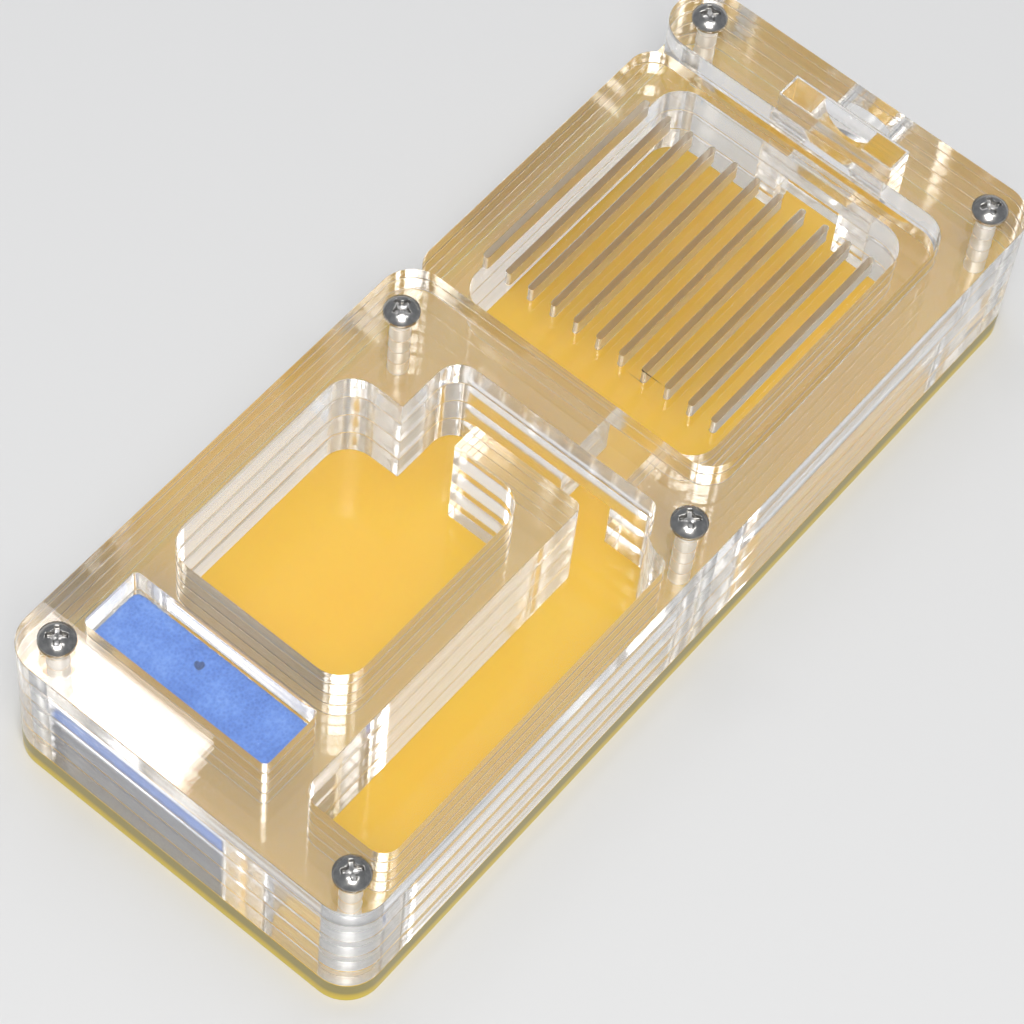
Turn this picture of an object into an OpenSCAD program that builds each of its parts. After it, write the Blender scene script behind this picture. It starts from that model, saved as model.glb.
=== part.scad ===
// Ant habitat: clear sheets stacked on an amber base plate and held by six long screws.
// The rooms and passages are cut through the sheets, so the walls show every layer.
//
// X runs across the nest, Y from the sponge end to the gate end, Z up.
// The origin is the centre of the underside. All lengths are in millimetres.

/* [Body] */
// Width of the nest
body_w = 67; // [65:0.5:72]
// Length of the nest
body_l = 162; // [158:1:168]
// Distance of the corner screws from the edges, which is also the outer corner radius
screw_margin = 6; // [5:0.25:6.5]

/* [Sheets] */
// Thickness of the amber base plate
base_t = 5; // [3:0.5:8]
// Thickness of each clear frame, and of the arena lid cut from the same sheet
frame_t = 5; // [4.5:0.25:6]
// Thickness of the clear top cover
cover_t = 4; // [3:0.5:6]

/* [Sponge well] */
// Wall between the front edge and the well
front_wall = 11.7; // [11:0.1:13]
// Wall between the left edge and the rooms
left_wall = 5.5; // [4:0.25:7]
// Size of the well from front to rear
well_l = 11.3; // [9:0.1:12]
// Corner radius of the well
well_r = 1; // [0.5:0.25:2]
// Gap between the sponge and the walls round it
sponge_gap = 0.3; // [0.2:0.05:0.5]
// Height of the sponge
sponge_h = 15.6; // [12:0.2:17]

/* [Chamber and passages] */
// Wall between the well and the chamber
well_wall = 5.35; // [4:0.05:6]
// Width of the chamber and of the well
chamber_w = 34.7; // [30:0.1:37]
// Length of the chamber
chamber_l = 41.35; // [39:0.05:43]
// Corner radius of the chamber
chamber_r = 5; // [3:0.5:8]
// Wall between the chamber and the cross passage
chamber_rear_wall = 4.8; // [4:0.1:6]
// Width of the doorway from the chamber to the cross passage
chamber_door_w = 10; // [8:0.5:13]
// Distance of the cross passage's closed end from the left edge
passage_inset = 16; // [14:0.5:18]
// Width of the cross passage
passage_w = 7.5; // [6:0.1:8.5]
// Radius of the cross passage's closed corner
passage_r = 4; // [2:0.5:5]
// Wall between the chamber and the long corridor
corridor_wall = 6.5; // [5:0.1:8]
// Wall between the long corridor and the right edge
right_wall = 4.7; // [4:0.1:5.5]
// Corner radius of the long corridor
corridor_r = 3; // [2:0.25:4]
// Outer radius of the boss that the corridor bends round, about the right middle screw
boss_r = 5.75; // [4.5:0.25:7]
// Radius of the fillets between that boss and the walls
boss_fillet = 2; // [1:0.25:2.5]

/* [Arena] */
// Wall between the cross passage and the arena
arena_front_wall = 11.3; // [10:0.1:13]
// Wall between the left edge and the arena
arena_left_wall = 6.9; // [5:0.1:9]
// Corner radius of the arena
arena_r = 5; // [3:0.5:8]
// Width of the low doorway from the cross passage to the arena
arena_door_w = 9; // [7:0.5:12]

/* [Arena lid] */
// Width of the cover's strip to the right of the lid
cover_strip = 8; // [7:0.25:10]
// Ledge that carries the lid at the front
front_ledge = 3.5; // [2:0.25:5]
// Ledge that carries the lid at the right
right_ledge = 5.5; // [3:0.25:7]
// Ledge that carries the lid at the rear
rear_ledge = 1.5; // [1:0.1:2.5]
// Radius of the recess in its two inner corners
recess_r = 5; // [3:0.5:7]
// Radius of the cover's two tabs beside the recess
tab_r = 6; // [3:0.5:6.5]
// Distance from the middle pair of screws to the recess
tab_l = 8.8; // [6:0.1:11]
// Gap between the lid and the recess
lid_gap = 0.4; // [0.2:0.05:0.8]
// Number of air slits in the lid
slit_count = 11; // [5:1:12]
// Distance between the air slits
slit_pitch = 4.43; // [3:0.01:4.5]
// Width of an air slit
slit_w = 1; // [0.6:0.1:1.6]
// Length of an air slit
slit_l = 40; // [25:1:46]

/* [Gate and port] */
// Wall between the gate slot and the rear edge
rear_wall = 5.2; // [4.5:0.1:6]
// Wall between the arena and the gate slot
gate_wall = 4.2; // [3.5:0.1:5]
// Distance of the gate, port and rear doorway from the middle, to the right
gate_x = 0.5; // [-2:0.5:3]
// Width of the gate plate
gate_w = 21.4; // [19:0.1:26]
// Thickness of the gate plate
gate_t = 4.2; // [3:0.1:5]
// Gap between the gate plate and its slot on each side
gate_gap = 0.3; // [0.15:0.05:0.5]
// Width of the finger notch in the gate plate
notch_w = 10; // [8:0.5:13]
// Depth of the finger notch
notch_d = 5.6; // [5:0.2:7]
// Width of the low doorway between the arena and the gate
port_door_w = 12; // [10:0.5:15]
// Diameter of the round port in the rear wall
port_d = 12; // [8:0.5:14]

/* [Screws] */
// Thread diameter of the screws
screw_d = 3; // [2.5:0.1:3.5]
// Gap round a screw in the base plate, where it is threaded
thread_gap = 0.03; // [0.02:0.01:0.05]
// Gap round a screw in the frames and the cover
clear_gap = 0.15; // [0.1:0.05:0.3]
// Diameter of the screw heads
head_d = 5.7; // [5:0.1:6.5]
// Height of the screw heads
head_h = 2.2; // [1.6:0.1:2.6]
// Depth of the cross recess in the heads
recess_d = 1.2; // [0.8:0.1:1.4]
// Distance of the screw tips from the underside
tip_inset = 1; // [0.5:0.1:2]

/* [Hidden] */
$fn = 64;
past = 1;

// Outer edges
left_x = -body_w / 2;
right_x = body_w / 2;
front_y = -body_l / 2;
rear_y = body_l / 2;

// Levels of the stack, counted from the underside
second_z = base_t + frame_t;
third_z = second_z + frame_t;
recess_z = third_z + frame_t;
cover_z = recess_z + frame_t;
top_z = cover_z + cover_t;

// Well, chamber and corridor, from the front to the rear
room_x0 = left_x + left_wall;
room_x1 = room_x0 + chamber_w;
well_y0 = front_y + front_wall;
well_y1 = well_y0 + well_l;
chamber_y0 = well_y1 + well_wall;
chamber_y1 = chamber_y0 + chamber_l;
corridor_x0 = room_x1 + corridor_wall;
corridor_x1 = right_x - right_wall;
passage_x0 = left_x + passage_inset;
passage_y0 = chamber_y1 + chamber_rear_wall;
passage_y1 = passage_y0 + passage_w;

// Gate slot, counted from the rear edge
slot_y1 = rear_y - rear_wall;
slot_y0 = slot_y1 - gate_t - 2 * gate_gap;
slot_w = gate_w + 2 * gate_gap;

// Arena, and the recess above it that takes the lid
arena_x0 = left_x + arena_left_wall;
arena_x1 = right_x - cover_strip - right_ledge;
arena_y0 = passage_y1 + arena_front_wall;
arena_y1 = slot_y0 - gate_wall;
recess_x1 = arena_x1 + right_ledge;
recess_y0 = arena_y0 - front_ledge;
recess_y1 = arena_y1 + rear_ledge;
lid_x1 = recess_x1 - lid_gap;
lid_y0 = recess_y0 + lid_gap;
lid_y1 = recess_y1 - lid_gap;

// Screws: one in each corner, and one each side in the tabs in front of the recess
screw_x = right_x - screw_margin;
screw_y = rear_y - screw_margin;
middle_y = recess_y0 - tab_l;
screw_points = [for (y = [-screw_y, middle_y, screw_y], x = [-screw_x, screw_x]) [x, y]];
boss_point = [screw_x, middle_y];

// Rectangle between two corners with its own radius in each corner
// The radii are given front left, front right, rear right, rear left, and 0 leaves a corner square.
module plan_rect(x0, y0, x1, y1, radii) {
    corners = [[x0, y0], [x1, y0], [x1, y1], [x0, y1]];
    inward = [[1, 1], [-1, 1], [-1, -1], [1, -1]];
    difference() {
        translate([x0, y0])
            square([x1 - x0, y1 - y0]);
        for (i = [0 : 3])
            if (radii[i] > 0)
                corner_waste(corners[i], inward[i], radii[i]);
    }
}

// What a rounded corner leaves of its square: the part between the sharp corner and the arc
module corner_waste(corner, inward, r) {
    difference() {
        translate([corner[0] + (inward[0] < 0 ? -r : 0), corner[1] + (inward[1] < 0 ? -r : 0)])
            square(r);
        translate([corner[0] + inward[0] * r, corner[1] + inward[1] * r])
            circle(r);
    }
}

// Outline shared by the base, the frames and the cover
module outline() {
    plan_rect(left_x, front_y, right_x, rear_y, [for (i = [0 : 3]) screw_margin]);
}

// One hole at each screw
module screw_holes(gap) {
    for (p = screw_points)
        translate(p)
            circle(d = screw_d + 2 * gap);
}

// Slot that guides the gate plate
module gate_slot() {
    translate([gate_x - slot_w / 2, slot_y0])
        square([slot_w, slot_y1 - slot_y0]);
}

// Boss left standing about the right middle screw, with fillets into the right wall of the
// corridor and into the rear wall of the passage
module boss() {
    reach = boss_r + boss_fillet;
    side = [corridor_x1 - boss_fillet,
            boss_point[1] - sqrt(pow(reach, 2) - pow(corridor_x1 - boss_fillet - boss_point[0], 2))];
    rear = [boss_point[0] - sqrt(pow(reach, 2) - pow(passage_y1 - boss_fillet - boss_point[1], 2)),
            passage_y1 - boss_fillet];
    translate(boss_point)
        circle(boss_r);
    boss_blend(side, [corridor_x1, side[1]]);
    boss_blend(rear, [rear[0], passage_y1]);
}

// Fillet between the boss and a wall: its arc has the given centre and ends at touch on the wall
module boss_blend(centre, touch) {
    far = centre[0] == touch[0] ? [boss_point[0], touch[1]] : [touch[0], boss_point[1]];
    difference() {
        polygon([centre, touch, far, boss_point]);
        translate(centre)
            circle(boss_fillet);
    }
}

// Long corridor on the right, and the cross passage that leaves it at the rear
module corridor_and_passage() {
    difference() {
        union() {
            plan_rect(corridor_x0, well_y0, corridor_x1, passage_y1, [corridor_r, corridor_r, 0, 0]);
            plan_rect(passage_x0, passage_y0, corridor_x1, passage_y1, [0, 0, 0, passage_r]);
            corner_waste([corridor_x0, passage_y0], [-1, -1], corridor_r / 2);
        }
        boss();
    }
}

// Rooms cut through all the frames in front of the arena
module front_rooms() {
    plan_rect(room_x0, well_y0, room_x1, well_y1, [for (i = [0 : 3]) well_r]);
    plan_rect(room_x0, chamber_y0, room_x1, chamber_y1, [for (i = [0 : 3]) chamber_r]);
    translate([passage_x0, chamber_y1 - past])
        square([chamber_door_w, chamber_rear_wall + 2 * past]);
    corridor_and_passage();
}

// Arena under the lid
module arena() {
    plan_rect(arena_x0, arena_y0, arena_x1, arena_y1, [for (i = [0 : 3]) arena_r]);
}

// Doorways of the two lowest frames: into the arena, and from the arena to the gate
module low_doorways() {
    translate([corridor_x0 - arena_door_w, passage_y1 - past])
        square([arena_door_w, arena_front_wall + 2 * past]);
    translate([gate_x - port_door_w / 2, arena_y1 - past])
        square([port_door_w, gate_wall + 2 * past]);
}

// Recess for the lid, open to the left, with the tabs of the cover rounded beside it
module lid_recess() {
    plan_rect(left_x - past, recess_y0, recess_x1, recess_y1, [0, recess_r, recess_r, 0]);
    corner_waste([left_x, recess_y0], [1, -1], tab_r);
    corner_waste([left_x, recess_y1], [1, 1], tab_r);
}

// Round port through the rear wall, level with the joint between the second and third frames
module port_bore() {
    translate([gate_x, slot_y0 + gate_gap, third_z])
        rotate([-90, 0, 0])
            cylinder(d = port_d, h = rear_y - slot_y0 + past);
}

// One clear frame at height z: the outline less its screw holes, its slot and the given rooms
module frame(z) {
    color("Wheat", 0.45)
        difference() {
            translate([0, 0, z])
                linear_extrude(frame_t)
                    difference() {
                        outline();
                        screw_holes(clear_gap);
                        gate_slot();
                        front_rooms();
                        children();
                    }
            port_bore();
        }
}

// Amber plate that carries the frames and is the floor of every room
module base_plate() {
    color("Goldenrod")
        linear_extrude(base_t)
            difference() {
                outline();
                screw_holes(thread_gap);
            }
}

// Frame on the base plate
module lowest_frame() {
    frame(base_t) {
        arena();
        low_doorways();
    }
}

// Second frame, which closes off above the low doorways
module second_frame() {
    frame(second_z) {
        arena();
        low_doorways();
    }
}

// Third frame, whose rim round the arena carries the lid
module third_frame() {
    frame(third_z)
        arena();
}

// Frame cut back round the lid
module recess_frame() {
    frame(recess_z)
        lid_recess();
}

// Clear cover over the front rooms and the rear strip
module top_cover() {
    color("AliceBlue", 0.45)
        translate([0, 0, cover_z])
            linear_extrude(cover_t)
                difference() {
                    outline();
                    screw_holes(clear_gap);
                    gate_slot();
                    lid_recess();
                }
}

// Loose lid of the arena with its row of air slits
module arena_lid() {
    corner_r = recess_r - lid_gap;
    middle = [(left_x + lid_x1) / 2, (lid_y0 + lid_y1) / 2];
    color("LightYellow", 0.6)
        translate([0, 0, recess_z])
            linear_extrude(frame_t)
                difference() {
                    plan_rect(left_x, lid_y0, lid_x1, lid_y1, [for (i = [0 : 3]) corner_r]);
                    for (i = [0 : slit_count - 1])
                        translate([middle[0] + (i - (slit_count - 1) / 2) * slit_pitch, middle[1]])
                            air_slit();
                }
}

// One slit with round ends
module air_slit() {
    straight = slit_l - slit_w;
    square([slit_w, straight], center = true);
    for (y = [-straight / 2, straight / 2])
        translate([0, y])
            circle(d = slit_w);
}

// Clear plate that closes the port, with a finger notch in its top edge
module port_gate() {
    straight = notch_d - notch_w / 2;
    color("Khaki", 0.7)
        translate([gate_x, slot_y1 - gate_gap, base_t])
            rotate([90, 0, 0])
                linear_extrude(gate_t)
                    difference() {
                        translate([-gate_w / 2, 0])
                            square([gate_w, top_z - base_t]);
                        translate([0, top_z - base_t - straight])
                            circle(d = notch_w);
                        translate([-notch_w / 2, top_z - base_t - straight])
                            square([notch_w, straight + past]);
                    }
}

// Cut block of blue sponge standing in the well
module sponge() {
    color("CornflowerBlue")
        translate([0, 0, base_t])
            linear_extrude(sponge_h)
                plan_rect(room_x0 + sponge_gap, well_y0 + sponge_gap, room_x1 - sponge_gap,
                          well_y1 - sponge_gap, [for (i = [0 : 3]) well_r]);
}

// Six long screws with domed heads on the cover and their tips in the base plate
module screws() {
    color("DimGray")
        for (p = screw_points)
            translate([p[0], p[1], top_z])
                screw();
}

// One screw: a straight shank, a domed head and a cross recess
module screw() {
    rim_h = head_h * 0.35;
    crown_h = head_h - rim_h;
    crown_r = (pow(head_d / 2, 2) + pow(crown_h, 2)) / (2 * crown_h);
    difference() {
        union() {
            translate([0, 0, tip_inset - top_z])
                cylinder(d = screw_d, h = top_z - tip_inset + rim_h);
            cylinder(d = head_d, h = rim_h);
            intersection() {
                translate([0, 0, head_h - crown_r])
                    sphere(crown_r);
                cylinder(d = head_d, h = head_h);
            }
        }
        for (turn = [0, 90])
            rotate([0, 0, turn])
                translate([-head_d * 0.29, -head_d * 0.08, head_h - recess_d])
                    cube([head_d * 0.58, head_d * 0.16, recess_d + past]);
    }
}

base_plate();
lowest_frame();
second_frame();
third_frame();
recess_frame();
top_cover();
arena_lid();
port_gate();
sponge();
screws();
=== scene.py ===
"""Ant habitat: clear acrylic sheets stacked on an amber base plate and held by six long screws."""

import math
import random

import bmesh
import bpy
from mathutils import Matrix, Vector, noise


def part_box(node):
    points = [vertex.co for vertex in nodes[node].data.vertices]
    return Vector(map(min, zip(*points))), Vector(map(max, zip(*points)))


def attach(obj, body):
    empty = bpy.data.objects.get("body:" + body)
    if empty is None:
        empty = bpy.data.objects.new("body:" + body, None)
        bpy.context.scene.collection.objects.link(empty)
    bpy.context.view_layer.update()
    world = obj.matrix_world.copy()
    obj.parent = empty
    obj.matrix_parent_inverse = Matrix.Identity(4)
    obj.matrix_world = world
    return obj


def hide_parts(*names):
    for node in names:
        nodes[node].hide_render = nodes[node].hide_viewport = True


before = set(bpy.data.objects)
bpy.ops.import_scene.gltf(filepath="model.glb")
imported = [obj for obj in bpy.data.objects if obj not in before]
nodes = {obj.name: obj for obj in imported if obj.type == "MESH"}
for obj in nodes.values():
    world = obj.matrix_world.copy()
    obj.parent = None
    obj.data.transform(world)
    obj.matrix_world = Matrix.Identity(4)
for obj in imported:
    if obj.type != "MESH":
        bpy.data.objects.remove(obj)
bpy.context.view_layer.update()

# ---------------------------------------------------------------------------------------------
# Studio
# A plain pale table with the nest on it. The main lamp is behind the camera, a dim panel over the
# far end lights the cut edges, a small lamp mirrors in the cover by the sponge, and four small
# panels draw thin lights down the round corners. The camera looks down through a long lens.
# ---------------------------------------------------------------------------------------------
MM = 0.001
scene = bpy.context.scene
scene.view_settings.view_transform = "Standard"
scene.cycles.max_bounces = 48
scene.cycles.transmission_bounces = 48
scene.cycles.glossy_bounces = 40
scene.cycles.transparent_max_bounces = 16

camera_place = Vector((164.95, -256.74, 507.42)) * MM
camera_right = Vector((0.76880, 0.63602, 0.06655)).normalized()
camera_back = Vector((0.28294, -0.43164, 0.85653)).normalized()
camera_up = camera_back.cross(camera_right).normalized()
camera_right = camera_up.cross(camera_back).normalized()
camera_data = bpy.data.cameras.new("camera")
camera_data.sensor_width = 36.0
camera_data.lens = 135.2
camera_data.clip_start = 0.02
camera = bpy.data.objects.new("camera", camera_data)
scene.collection.objects.link(camera)
turn = Matrix((camera_right, camera_up, camera_back)).transposed()
camera.matrix_world = Matrix.Translation(camera_place) @ turn.to_4x4()
scene.camera = camera

floor_mesh = bpy.data.meshes.new("table_top")
table_reach = 3.0
quarters = ((-1, -1), (1, -1), (1, 1), (-1, 1))
table_corners = [(table_reach * across, table_reach * along, 0) for across, along in quarters]
floor_mesh.from_pydata(table_corners, [], [(0, 1, 2, 3)])
table_top = bpy.data.objects.new("table_top", floor_mesh)
scene.collection.objects.link(table_top)
floor_paint = bpy.data.materials.new("table_paint")
floor_paint.use_nodes = True
paint = floor_paint.node_tree.nodes["Principled BSDF"]
paint.inputs["Base Color"].default_value = (0.70, 0.70, 0.70, 1)
paint.inputs["Roughness"].default_value = 0.6
table_top.data.materials.append(floor_paint)

world = bpy.data.worlds.new("studio")
world.use_nodes = True
scene.world = world
world.node_tree.nodes["Background"].inputs["Color"].default_value = (0.82, 0.86, 0.92, 1)
world.node_tree.nodes["Background"].inputs["Strength"].default_value = 0.35


def soft_lamp(name, place, target, size, power, colour):
    """A square soft lamp at place, facing target."""
    data = bpy.data.lights.new(name, "AREA")
    data.shape = "RECTANGLE"
    data.size, data.size_y = size
    data.energy = power
    data.color = colour
    lamp = bpy.data.objects.new(name, data)
    scene.collection.objects.link(lamp)
    lamp.location = place
    lamp.rotation_mode = "QUATERNION"
    lamp.rotation_quaternion = (Vector(place) - Vector(target)).to_track_quat("Z", "Y")


nest_middle = (0, 0, 0)
cool_white, plain_white, warm_white = (0.97, 0.98, 1.0), (1.0, 1.0, 1.0), (1.0, 0.98, 0.95)
mauve_white = (0.98, 0.97, 1.0)
soft_lamp("key_lamp", (-0.42, 0.165, 0.95), (-0.42, 0.165, 0), (0.20, 0.24), 0.75, mauve_white)
soft_lamp("ceiling_panel", (-0.28, 0.50, 1.0), (-0.28, 0.50, 0), (0.9, 0.6), 0.9, cool_white)
soft_lamp("fill_lamp", (0.42, -0.50, 1.1), nest_middle, (0.6, 0.6), 12.3, warm_white)
panel_side, panel_up = 0.515, 0.857
for number, (across, along) in enumerate(((0, 1), (1, 0), (0, -1), (-1, 0)), start=1):
    place = (panel_side * across, panel_side * along, panel_up)
    soft_lamp(f"small_panel_{number}", place, nest_middle, (0.13, 0.13), 0.32, plain_white)

# ---------------------------------------------------------------------------------------------
# Base plate
# Cast amber acrylic, dyed through and nearly opaque, cut to the outline of the nest. It is the
# floor of every room, and the screws are threaded into it.
# ---------------------------------------------------------------------------------------------
plate_thickness = 5 * MM
sheet_gap = 0.02 * MM
edge_break = 0.12 * MM
same_point = 0.002 * MM
flat_angle = math.radians(0.5)
edge_angle = math.radians(35)
upright_limit = 0.5
acrylic_ior = 1.49
edge_fineness = 1500.0


def finish_sheet(name, joined=same_point):
    """Draws a sheet back from its neighbours by a film of air and breaks its edges."""
    sheet = nodes[name]
    for polygon in sheet.data.polygons:
        polygon.use_smooth = True
    weld = sheet.modifiers.new("weld", "WELD")
    weld.merge_threshold = joined
    whole_faces = sheet.modifiers.new("whole_faces", "DECIMATE")
    whole_faces.decimate_type = "DISSOLVE"
    whole_faces.angle_limit = flat_angle
    draw_back = sheet.modifiers.new("air_film", "DISPLACE")
    draw_back.strength = -sheet_gap
    draw_back.mid_level = 0.0
    broken = sheet.modifiers.new("broken_edges", "BEVEL")
    broken.width = edge_break
    broken.segments = 2
    broken.limit_method = "ANGLE"
    broken.angle_limit = edge_angle
    broken.use_clamp_overlap = False
    level = sheet.modifiers.new("flat_faces", "WEIGHTED_NORMAL")
    level.keep_sharp = False
    return sheet


def dress(obj, material):
    """Gives every face of a piece one material."""
    obj.data.materials.clear()
    obj.data.materials.append(material)


def new_material(name):
    """A new material, with its node tree and its Principled shader."""
    material = bpy.data.materials.new(name)
    material.use_nodes = True
    tree = material.node_tree
    return material, tree, tree.nodes["Principled BSDF"]


def add_node(tree, kind, values=None, links=None):
    """Adds a node, sets its inputs from values and joins others to the outputs in links."""
    node = tree.nodes.new(kind)
    for name, value in (values or {}).items():
        node.inputs[name].default_value = value
    for name, output in (links or {}).items():
        tree.links.new(output, node.inputs[name])
    return node


def colour_ramp(tree, factor, stops):
    """Turns a factor into colours, from a list of (position, colour)."""
    ramp = tree.nodes.new("ShaderNodeValToRGB")
    tree.links.new(factor, ramp.inputs["Fac"])
    elements = ramp.color_ramp.elements
    while len(elements) < len(stops):
        elements.new(0.5)
    for element, (position, colour) in zip(elements, stops):
        element.position = position
        element.color = (*colour, 1)
    return ramp.outputs["Color"]


def new_group(name, inputs, outputs):
    """A shader node group with float inputs (name, value) and float outputs."""
    group = bpy.data.node_groups.new(name, "ShaderNodeTree")
    for title, value in inputs:
        socket = group.interface.new_socket(title, in_out="INPUT", socket_type="NodeSocketFloat")
        socket.default_value = value
    for title in outputs:
        group.interface.new_socket(title, in_out="OUTPUT", socket_type="NodeSocketFloat")
    return group, group.nodes.new("NodeGroupInput"), group.nodes.new("NodeGroupOutput")


def math_node(tree, operation, first, second=None):
    """A Math node on two outputs or numbers. Gives its output."""
    node = tree.nodes.new("ShaderNodeMath")
    node.operation = operation
    for slot_number, value in enumerate((first, second)):
        if value is None:
            continue
        if isinstance(value, (int, float)):
            node.inputs[slot_number].default_value = value
        else:
            tree.links.new(value, node.inputs[slot_number])
    return node.outputs[0]


def blend(tree, factor, first, second):
    """Mixes two colours by a factor. The second is an output or a plain colour."""
    node = tree.nodes.new("ShaderNodeMix")
    node.data_type = "RGBA"
    tree.links.new(factor, node.inputs["Factor"])
    tree.links.new(first, node.inputs["A"])
    if isinstance(second, tuple):
        node.inputs["B"].default_value = (*second, 1)
    else:
        tree.links.new(second, node.inputs["B"])
    return node.outputs["Result"]


def raise_surface(tree, skin, height, strength, distance):
    """Gives a shader the fine relief of a height."""
    values = {"Strength": strength, "Distance": distance}
    relief = add_node(tree, "ShaderNodeBump", values, {"Height": height})
    tree.links.new(relief.outputs["Normal"], skin.inputs["Normal"])


def place_group(tree, group, values):
    """Places a node group in a material, with its own input values."""
    node = tree.nodes.new("ShaderNodeGroup")
    node.node_tree = group
    for name, value in values.items():
        node.inputs[name].default_value = value
    return node


# Hairline scratches: long thin noise in two directions, kept where a broad noise allows it.
scratch_inputs = [("Spacing", 260.0), ("Share", 0.5)]
scratches, ends, result = new_group("hairline_scratches", scratch_inputs, ["Mask"])
where = add_node(scratches, "ShaderNodeTexCoord")
lines = None
for degrees, stretch in ((20, 24.0), (-58, 30.0)):
    laid = add_node(scratches, "ShaderNodeMapping", {}, {"Vector": where.outputs["Object"]})
    laid.inputs["Rotation"].default_value = (0, 0, math.radians(degrees))
    laid.inputs["Scale"].default_value = (stretch, 1.0, 1.0)
    streak = add_node(scratches, "ShaderNodeTexNoise", {"Detail": 2.0, "Distortion": 0.15})
    scratches.links.new(laid.outputs["Vector"], streak.inputs["Vector"])
    scratches.links.new(ends.outputs["Spacing"], streak.inputs["Scale"])
    thin = math_node(scratches, "GREATER_THAN", streak.outputs["Fac"], 0.69)
    lines = thin if lines is None else math_node(scratches, "MAXIMUM", lines, thin)
patches = add_node(scratches, "ShaderNodeTexNoise", {"Scale": 38.0, "Detail": 2.0})
scratches.links.new(where.outputs["Object"], patches.inputs["Vector"])
allowed = math_node(scratches, "GREATER_THAN", patches.outputs["Fac"], ends.outputs["Share"])
scratches.links.new(math_node(scratches, "MULTIPLY", lines, allowed), result.inputs["Mask"])

# Cut edges: a mask of the upright faces, and the height of their relief. It has fine upright
# streaks and a slow wave through the thickness, which breaks what the edge mirrors into stripes.
cut_edges, ends, result = new_group("cut_edges", [("Fineness", edge_fineness)], ["Mask", "Height"])
facing = add_node(cut_edges, "ShaderNodeNewGeometry")
parts = add_node(cut_edges, "ShaderNodeSeparateXYZ", {}, {"Vector": facing.outputs["Normal"]})
steepness = math_node(cut_edges, "ABSOLUTE", parts.outputs["Z"])
upright = math_node(cut_edges, "LESS_THAN", steepness, upright_limit)
where = add_node(cut_edges, "ShaderNodeTexCoord")
drawn = add_node(cut_edges, "ShaderNodeMapping", {}, {"Vector": where.outputs["Object"]})
drawn.inputs["Scale"].default_value = (1.0, 1.0, 0.04)
streak = add_node(cut_edges, "ShaderNodeTexNoise", {"Detail": 3.0})
cut_edges.links.new(drawn.outputs["Vector"], streak.inputs["Vector"])
cut_edges.links.new(ends.outputs["Fineness"], streak.inputs["Scale"])
layered = add_node(cut_edges, "ShaderNodeMapping", {}, {"Vector": where.outputs["Object"]})
layered.inputs["Scale"].default_value = (0.03, 0.03, 1.0)
wave = add_node(cut_edges, "ShaderNodeTexNoise", {"Scale": 520.0, "Detail": 1.0})
cut_edges.links.new(layered.outputs["Vector"], wave.inputs["Vector"])
height = math_node(cut_edges, "MULTIPLY_ADD", streak.outputs["Fac"], 0.08)
cut_edges.links.new(wave.outputs["Fac"], height.node.inputs[2])
cut_edges.links.new(upright, result.inputs["Mask"])
cut_edges.links.new(math_node(cut_edges, "MULTIPLY", height, upright), result.inputs["Height"])

amber, tree, skin = new_material("amber_acrylic")
skin.inputs["IOR"].default_value = acrylic_ior
skin.inputs["Subsurface Weight"].default_value = 0.4
skin.inputs["Subsurface Radius"].default_value = (1.0, 0.6, 0.15)
skin.inputs["Subsurface Scale"].default_value = 4 * MM
where = add_node(tree, "ShaderNodeTexCoord")
at_point = {"Vector": where.outputs["Object"]}
cloud = add_node(tree, "ShaderNodeTexNoise", {"Scale": 38.0, "Detail": 3.0}, at_point)
dye = [(0.3, (0.98, 0.54, 0.010)), (0.7, (0.99, 0.59, 0.018))]
colour = colour_ramp(tree, cloud.outputs["Fac"], dye)
worn = place_group(tree, scratches, {"Spacing": 300.0, "Share": 0.52})
cut = place_group(tree, cut_edges, {"Fineness": 1600.0})
# Painted light and shade on the cut edge: a painted yellow glow along the bottom, where light
# comes out of the sheet, and painted olive shade above.
parts = add_node(tree, "ShaderNodeSeparateXYZ", {}, at_point)
rise = math_node(tree, "DIVIDE", parts.outputs["Z"], plate_thickness)
edge_glow_and_shade = [(0.0, (0.85, 0.62, 0.03)), (0.34, (0.62, 0.44, 0.03)), (0.5, (0.32, 0.26, 0.07))]
shown = blend(tree, cut.outputs["Mask"], colour, colour_ramp(tree, rise, edge_glow_and_shade))
tree.links.new(shown, skin.inputs["Base Color"])
rough = math_node(tree, "MULTIPLY_ADD", worn.outputs["Mask"], 0.12)
rough.node.inputs[2].default_value = 0.10
rough = math_node(tree, "MAXIMUM", rough, math_node(tree, "MULTIPLY", cut.outputs["Mask"], 0.28))
tree.links.new(rough, skin.inputs["Roughness"])
raise_surface(tree, skin, cut.outputs["Height"], 0.25, 0.05 * MM)
dress(finish_sheet("base_plate"), amber)

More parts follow.
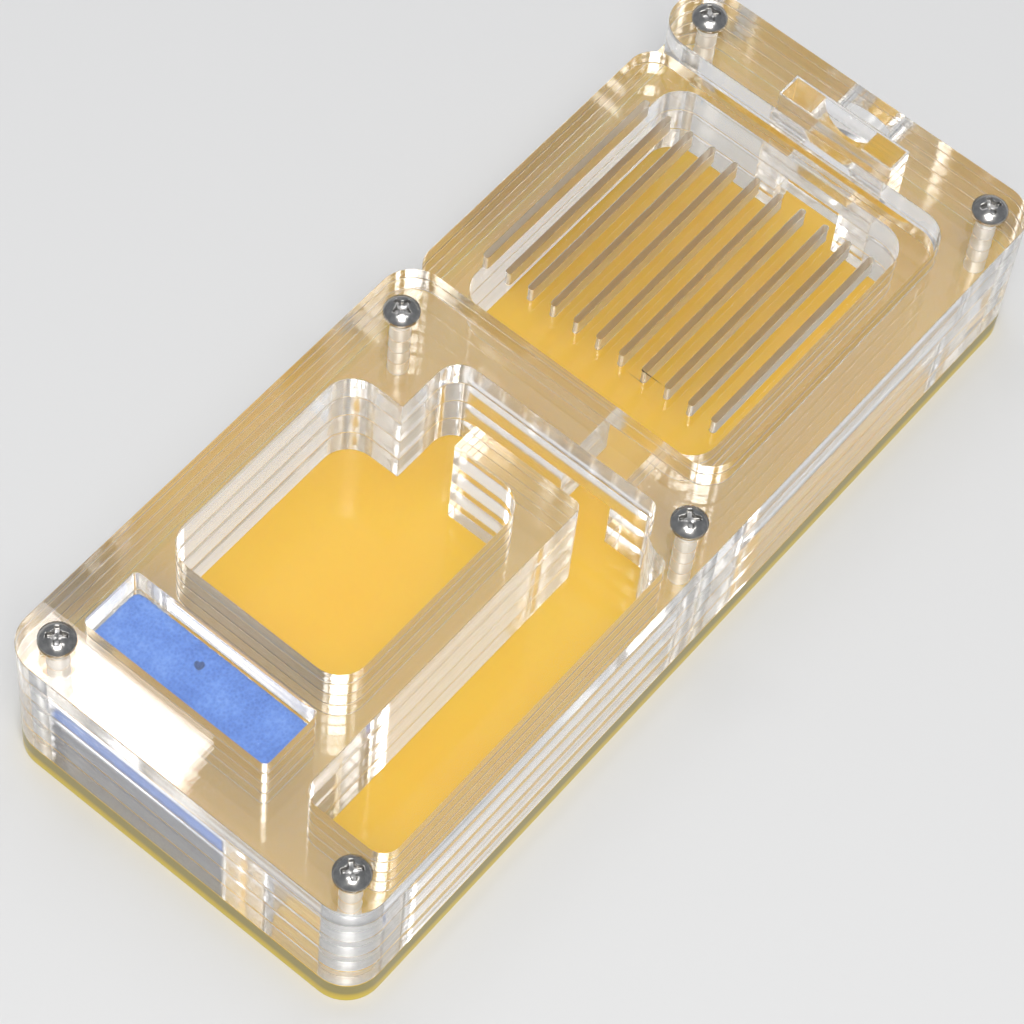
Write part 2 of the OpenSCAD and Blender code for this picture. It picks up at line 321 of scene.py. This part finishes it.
# ---------------------------------------------------------------------------------------------
# Frames, cover, lid and gate
# Clear cast acrylic, laser cut. The faces are polished and the cut edges carry the fine upright
# streaks of the cut. The frames lie loose on each other, with a film of air between them.
# ---------------------------------------------------------------------------------------------
def clear_sheet(name, polished, passing):
    """Clear acrylic with streaked cut edges, and with hairline scratches where hands reach it."""
    material, tree, skin = new_material(name)
    skin.inputs["Base Color"].default_value = (0.995, 0.992, 0.985, 1)
    skin.inputs["IOR"].default_value = acrylic_ior
    skin.inputs["Transmission Weight"].default_value = 1.0
    cut = place_group(tree, cut_edges, {"Fineness": edge_fineness})
    rough = math_node(tree, "MULTIPLY", cut.outputs["Mask"], 0.12)
    if not polished:
        worn = place_group(tree, scratches, {"Spacing": 300.0, "Share": 0.55})
        worn_rough = math_node(tree, "MULTIPLY", worn.outputs["Mask"], 0.08)
        rough = math_node(tree, "MAXIMUM", rough, worn_rough)
    tree.links.new(rough, skin.inputs["Roughness"])
    raise_surface(tree, skin, cut.outputs["Height"], 1.0, 0.08 * MM)
    # Light from the lamps reaches the rooms through the sheets: each face passes most of it.
    ray = add_node(tree, "ShaderNodeLightPath")
    passed = add_node(tree, "ShaderNodeBsdfTransparent", {"Color": (*passing, 1)})
    shown = add_node(tree, "ShaderNodeMixShader")
    shadow, diffuse = ray.outputs["Is Shadow Ray"], ray.outputs["Is Diffuse Ray"]
    tree.links.new(math_node(tree, "MAXIMUM", shadow, diffuse), shown.inputs["Fac"])
    tree.links.new(skin.outputs["BSDF"], shown.inputs[1])
    tree.links.new(passed.outputs["BSDF"], shown.inputs[2])
    tree.links.new(shown.outputs["Shader"], tree.nodes["Material Output"].inputs["Surface"])
    return material


def frosted_cut(name, tint, passed_light, roughness):
    """Acrylic left rough by a narrow cut: part of the light passes, the rest is scattered."""
    material, tree, skin = new_material(name)
    skin.inputs["Base Color"].default_value = (*tint, 1)
    skin.inputs["IOR"].default_value = acrylic_ior
    skin.inputs["Transmission Weight"].default_value = passed_light
    skin.inputs["Roughness"].default_value = roughness
    cut = place_group(tree, cut_edges, {"Fineness": edge_fineness})
    raise_surface(tree, skin, cut.outputs["Height"], 1.0, 0.1 * MM)
    return material


def dress_cuts(name, material, chosen):
    """Gives the upright faces of a sheet whose middle is chosen the material of a narrow cut."""
    sheet = nodes[name]
    sheet.data.materials.append(material)
    for polygon in sheet.data.polygons:
        if abs(polygon.normal.z) < upright_limit and chosen(polygon.center):
            polygon.material_index = 1


inner_clear = clear_sheet("clear_acrylic_inner", polished=True, passing=(0.915, 0.914, 0.908))
outer_clear = clear_sheet("clear_acrylic_handled", polished=False, passing=(0.98, 0.979, 0.975))
lid_clear = clear_sheet("clear_acrylic_lid", polished=False, passing=(0.95, 0.948, 0.94))
hole_wall = frosted_cut("drilled_acrylic", (0.95, 0.95, 0.95), 0.3, 0.3)
# Painted shade: the slit walls are tinted brown, so each narrow slit shows as a dark line.
slit_wall_shaded = frosted_cut("slit_acrylic_painted_shade", (0.70, 0.60, 0.46), 0.6, 0.35)
frames = ("lowest_frame", "second_frame", "third_frame", "recess_frame")
for name in (*frames, "port_gate"):
    dress(finish_sheet(name), inner_clear)
dress(finish_sheet("top_cover"), outer_clear)
# The short steps of the slits' round ends are joined in twos, or the flat top would have slivers.
slit_step = 0.08 * MM
dress(finish_sheet("arena_lid", joined=slit_step), lid_clear)

# The clearance holes of the screws are drilled, and the laser cut the air slits in narrow passes.
screws_low, screws_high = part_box("screws")
head_radius = 2.85 * MM
hole_reach = 1.9 * MM
screw_side = screws_high.x - head_radius
screw_end = screws_high.y - head_radius
screw_places = [
    Vector((screw_side * across, screw_end * along)) for along in (-1, 0, 1) for across in (-1, 1)
]
lid_low, lid_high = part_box("arena_lid")
lid_margin = 3 * MM


def in_screw_hole(at):
    """Whether a point lies on the wall of a clearance hole."""
    return min((at.xy - place).length for place in screw_places) < hole_reach


def in_air_slit(at):
    """Whether a point lies inside the rim of the lid."""
    inside_x = lid_low.x + lid_margin < at.x < lid_high.x - lid_margin
    return inside_x and lid_low.y + lid_margin < at.y < lid_high.y - lid_margin


for name in (*frames, "top_cover"):
    dress_cuts(name, hole_wall, in_screw_hole)
dress_cuts("arena_lid", slit_wall_shaded, in_air_slit)

# ---------------------------------------------------------------------------------------------
# Sponge
# A block of fine blue cellulose sponge, cut by hand a little smaller than its well. Its cut faces
# are open and slightly uneven, its edges are soft, and the top has a small nick.
# ---------------------------------------------------------------------------------------------
sponge_low, sponge_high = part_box("sponge")
cell = 0.36 * MM
soft_edge = 0.7 * MM
# The radii of the upright corners, by whether a corner is at the rear and on the right.
corner_radii = {(0, 0): 0.8 * MM, (0, 1): 0.9 * MM, (1, 0): 2.2 * MM, (1, 1): 1.1 * MM}
pore_depth = 0.13 * MM
fine_lump = 0.55 * MM
broad_lump = 5 * MM
nick = Vector((-12.6, -61.7)) * MM
nick_reach = 1.3 * MM
nick_depth = 0.9 * MM
nick_width = 0.6 * MM
top_band = 0.1 * MM
foot_band = 0.05 * MM


def plan_push(x, y, half):
    """Moves a point of a rectangle's outline in to the arc of its nearest corner."""
    radius = corner_radii[(1 if y > 0 else 0, 1 if x > 0 else 0)]
    edge_x, edge_y = half.x - radius, half.y - radius
    over_x, over_y = abs(x) - edge_x, abs(y) - edge_y
    if over_x <= 0 or over_y <= 0:
        return x, y
    share = max(over_x, over_y) / math.hypot(over_x, over_y)
    return (
        math.copysign(edge_x + over_x * share, x),
        math.copysign(edge_y + over_y * share, y),
    )


def foam_block(name, low, high):
    """A closed block of small cells with rounded corners and a pitted surface."""
    size = high - low
    centre = (low + high) / 2
    counts = [max(4, round(size[axis] / cell)) for axis in range(3)]
    made = bmesh.new()
    known = {}

    def corner(i, j, k):
        if (i, j, k) not in known:
            place = Vector((i / counts[0] - 0.5, j / counts[1] - 0.5, k / counts[2] - 0.5))
            place = Vector((place.x * size.x, place.y * size.y, place.z * size.z))
            known[(i, j, k)] = made.verts.new(place)
        return known[(i, j, k)]

    for axis in range(3):
        first, second = [a for a in range(3) if a != axis]
        for end in (0, counts[axis]):
            for u in range(counts[first]):
                for v in range(counts[second]):
                    quad = []
                    for du, dv in ((0, 0), (1, 0), (1, 1), (0, 1)):
                        index = [0, 0, 0]
                        index[axis], index[first], index[second] = end, u + du, v + dv
                        quad.append(corner(*index))
                    made.faces.new(quad)
    half = size / 2
    for vert in made.verts:
        x, y, z = vert.co
        x, y = plan_push(x, y, half)
        top_gap = half.z - z
        side_gap = min(half.x - abs(x), half.y - abs(y))
        if top_gap < soft_edge and side_gap < soft_edge:
            over = Vector((soft_edge - side_gap, soft_edge - top_gap))
            if over.length > soft_edge:
                pull = (over.length - soft_edge) / over.length
                z -= over.y * pull
                inward = over.x * pull
                if half.x - abs(x) < half.y - abs(y):
                    x -= math.copysign(inward, x)
                else:
                    y -= math.copysign(inward, y)
        vert.co = (x, y, z)
    bmesh.ops.recalc_face_normals(made, faces=made.faces)
    made.normal_update()
    pushes = {}
    for vert in made.verts:
        at = vert.co + centre
        fine = noise.noise(at / fine_lump)
        broad = noise.noise(at / broad_lump)
        push = -pore_depth * (0.5 + max(0.0, fine) * 1.6 + 0.6 * max(0.0, broad))
        from_nick = (Vector((at.x, at.y)) - nick).length
        if vert.co.z > half.z - top_band and from_nick < nick_reach:
            slit = abs((at.x - nick.x) * 0.85 + (at.y - nick.y) * 0.5)
            push -= nick_depth * max(0.0, 1 - slit / nick_width) * (1 - from_nick / nick_reach)
        pushes[vert] = vert.normal * push
    for vert, push in pushes.items():
        if vert.co.z > -half.z + foot_band:
            vert.co += push
    mesh = bpy.data.meshes.new(name)
    made.to_mesh(mesh)
    made.free()
    for polygon in mesh.polygons:
        polygon.use_smooth = True
    block = bpy.data.objects.new(name, mesh)
    scene.collection.objects.link(block)
    block.location = centre
    return block


block = foam_block("sponge_block", sponge_low, sponge_high)
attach(block, "nest")
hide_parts("sponge")

foam, tree, skin = new_material("blue_sponge")
where = add_node(tree, "ShaderNodeTexCoord")
at_point = {"Vector": where.outputs["Object"]}
pores = add_node(tree, "ShaderNodeTexVoronoi", {"Scale": 2100.0}, at_point)
broad = add_node(tree, "ShaderNodeTexNoise", {"Scale": 160.0, "Detail": 4.0}, at_point)
mixed = math_node(tree, "MULTIPLY_ADD", broad.outputs["Fac"], 0.8)
tree.links.new(math_node(tree, "MULTIPLY", pores.outputs["Distance"], 0.35), mixed.node.inputs[2])
blues = [(0.3, (0.075, 0.185, 0.60)), (0.6, (0.13, 0.28, 0.77)), (0.85, (0.20, 0.37, 0.86))]
colour = colour_ramp(tree, mixed, blues)
# Painted shade: the upright sides are painted a duller, darker grey blue, and the nick in the top
# is painted dark.
facing = add_node(tree, "ShaderNodeNewGeometry")
parts = add_node(tree, "ShaderNodeSeparateXYZ", {}, {"Vector": facing.outputs["Normal"]})
side_shade_mask = math_node(tree, "LESS_THAN", parts.outputs["Z"], 0.3)
sides_shaded_colour = blend(tree, side_shade_mask, colour, (0.21, 0.25, 0.36))
# Painted shade: the hollow of the nick is painted a dark blue.
gap = add_node(tree, "ShaderNodeVectorMath")
gap.operation = "DISTANCE"
gap.inputs[1].default_value = Vector((nick.x, nick.y, sponge_high.z)) - block.location
tree.links.new(where.outputs["Object"], gap.inputs[0])
ragged = math_node(tree, "MULTIPLY_ADD", broad.outputs["Fac"], 1.6 * MM)
ragged.node.inputs[2].default_value = 0.05 * MM
nick_shade_mask = math_node(tree, "LESS_THAN", gap.outputs["Value"], ragged)
tree.links.new(blend(tree, nick_shade_mask, sides_shaded_colour, (0.05, 0.10, 0.26)), skin.inputs["Base Color"])
skin.inputs["Roughness"].default_value = 0.9
skin.inputs["Sheen Weight"].default_value = 0.25
skin.inputs["Sheen Roughness"].default_value = 0.5
skin.inputs["Subsurface Weight"].default_value = 0.15
skin.inputs["Subsurface Radius"].default_value = (0.3, 0.5, 1.0)
skin.inputs["Subsurface Scale"].default_value = 1 * MM
raise_surface(tree, skin, pores.outputs["Distance"], 0.6, 0.15 * MM)
dress(block, foam)

# ---------------------------------------------------------------------------------------------
# Screws
# Six M3 machine screws with domed heads and cross recesses, plated in dark nickel. They pass
# through the cover and the frames with a little play and are threaded into the base plate.
# ---------------------------------------------------------------------------------------------
cover_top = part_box("top_cover")[1].z
head_height = screws_high.z - cover_top
rim_height = head_height * 0.35
crest_radius = 1.48 * MM
root_radius = 1.22 * MM
pitch = 0.5 * MM
steps_round = 24
head_steps = 120
dome_rings = 44
head_chamfer = 0.12 * MM
shank_overlap = 0.05 * MM
recess_reach = 1.72 * MM
recess_half_width = 0.44 * MM
recess_depth = 1.15 * MM
recess_slope = 0.16 * MM
recess_heart = 0.95 * MM


def smooth_step(value):
    """A soft step from 0 to 1."""
    value = min(1.0, max(0.0, value))
    return value * value * (3 - 2 * value)


def recess_at(x, y):
    """Depth of the cross recess at a point of the head, with sloping walls."""
    along, across = max(abs(x), abs(y)), min(abs(x), abs(y))
    width = recess_half_width * (1.0 + 0.25 * (1 - along / recess_reach))
    arm = smooth_step((width - across) / recess_slope)
    arm *= smooth_step((recess_reach - along) / (2.2 * recess_slope))
    heart = smooth_step((recess_heart - math.hypot(x, y)) / (2 * recess_slope))
    return max(arm, heart) * (recess_depth * (1.0 - 0.45 * along / recess_reach))


def circle(radius, height, count):
    """The points of a level circle about the screw's axis."""
    angles = [2 * math.pi * step / count for step in range(count)]
    return [(radius * math.cos(angle), radius * math.sin(angle), height) for angle in angles]


def join_rings(made, lower, upper):
    """Closes the band between two rings of as many points."""
    for i in range(len(lower)):
        j = (i + 1) % len(lower)
        made.faces.new((lower[i], lower[j], upper[j], upper[i]))


def screw_mesh(name, bottom):
    """One screw with its seat at z 0: a helical thread down to bottom, and a domed head."""
    made = bmesh.new()
    crown = head_height - rim_height
    crown_radius = (head_radius**2 + crown**2) / (2 * crown)
    rings = [
        circle(head_radius - head_chamfer, 0.0, head_steps),
        circle(head_radius, head_chamfer, head_steps),
        circle(head_radius, rim_height, head_steps),
    ]
    for step in range(1, dome_rings):
        radius = head_radius * (1 - step / dome_rings)
        height = head_height - crown_radius + math.sqrt(crown_radius**2 - radius**2)
        level = circle(radius, height, head_steps)
        rings.append([(x, y, z - recess_at(x, y)) for x, y, z in level])
    head_rings = [[made.verts.new(point) for point in ring] for ring in rings]
    for lower, upper in zip(head_rings, head_rings[1:]):
        join_rings(made, lower, upper)
    peak = made.verts.new((0, 0, head_height - recess_at(0, 0)))
    last_ring = head_rings[-1]
    for i in range(head_steps):
        made.faces.new((last_ring[i], last_ring[(i + 1) % head_steps], peak))
    made.faces.new(list(reversed(head_rings[0])))

    turns = int(-bottom / pitch)
    profile = [
        (root_radius, 0.0),
        (root_radius, 0.1),
        (crest_radius, 0.44),
        (crest_radius, 0.58),
        (root_radius, 0.96),
    ]
    columns = []
    total = turns * steps_round
    for step in range(total + 1):
        angle = 2 * math.pi * step / steps_round
        start = bottom + pitch * step / steps_round
        fade = min(1.0, step / steps_round, (total - step) / steps_round)
        columns.append([
            made.verts.new((
                (root_radius + (radius - root_radius) * fade) * math.cos(angle),
                (root_radius + (radius - root_radius) * fade) * math.sin(angle),
                min(shank_overlap, max(bottom, start + (share - 0.5) * pitch)),
            ))
            for radius, share in profile
        ])
    for left, right in zip(columns, columns[1:]):
        for i in range(len(profile) - 1):
            made.faces.new((left[i], right[i], right[i + 1], left[i + 1]))
    core = root_radius * 0.995
    tip, neck = [
        [made.verts.new(point) for point in circle(core, height, steps_round)]
        for height in (bottom, shank_overlap)
    ]
    join_rings(made, tip, neck)
    made.faces.new(list(reversed(tip)))
    made.faces.new(neck)
    bmesh.ops.recalc_face_normals(made, faces=made.faces)
    mesh = bpy.data.meshes.new(name)
    made.to_mesh(mesh)
    made.free()
    for polygon in mesh.polygons:
        polygon.use_smooth = True
    return mesh


nickel, tree, skin = new_material("dark_nickel")
skin.inputs["Metallic"].default_value = 1.0
where = add_node(tree, "ShaderNodeTexCoord")
at_point = {"Vector": where.outputs["Object"]}
stain = add_node(tree, "ShaderNodeTexNoise", {"Scale": 900.0, "Detail": 4.0}, at_point)
nickels = [(0.3, (0.38, 0.37, 0.355)), (0.7, (0.56, 0.545, 0.52))]
colour = colour_ramp(tree, stain.outputs["Fac"], nickels)
tree.links.new(colour, skin.inputs["Base Color"])
rough = math_node(tree, "MULTIPLY_ADD", stain.outputs["Fac"], 0.22)
rough.node.inputs[2].default_value = 0.10
tree.links.new(rough, skin.inputs["Roughness"])

screw_names = [
    f"screw_{row}_{side}" for row in ("front", "middle", "rear") for side in ("left", "right")
]
mesh = screw_mesh("machine_screw", screws_low.z - cover_top)
mesh.materials.append(nickel)
random.seed(11)
for name, place in zip(screw_names, screw_places):
    screw = bpy.data.objects.new(name, mesh)
    scene.collection.objects.link(screw)
    screw.location = (place.x, place.y, cover_top)
    screw.rotation_euler = (0, 0, random.uniform(0, math.pi / 2))
    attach(screw, "nest")
    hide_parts("screws")
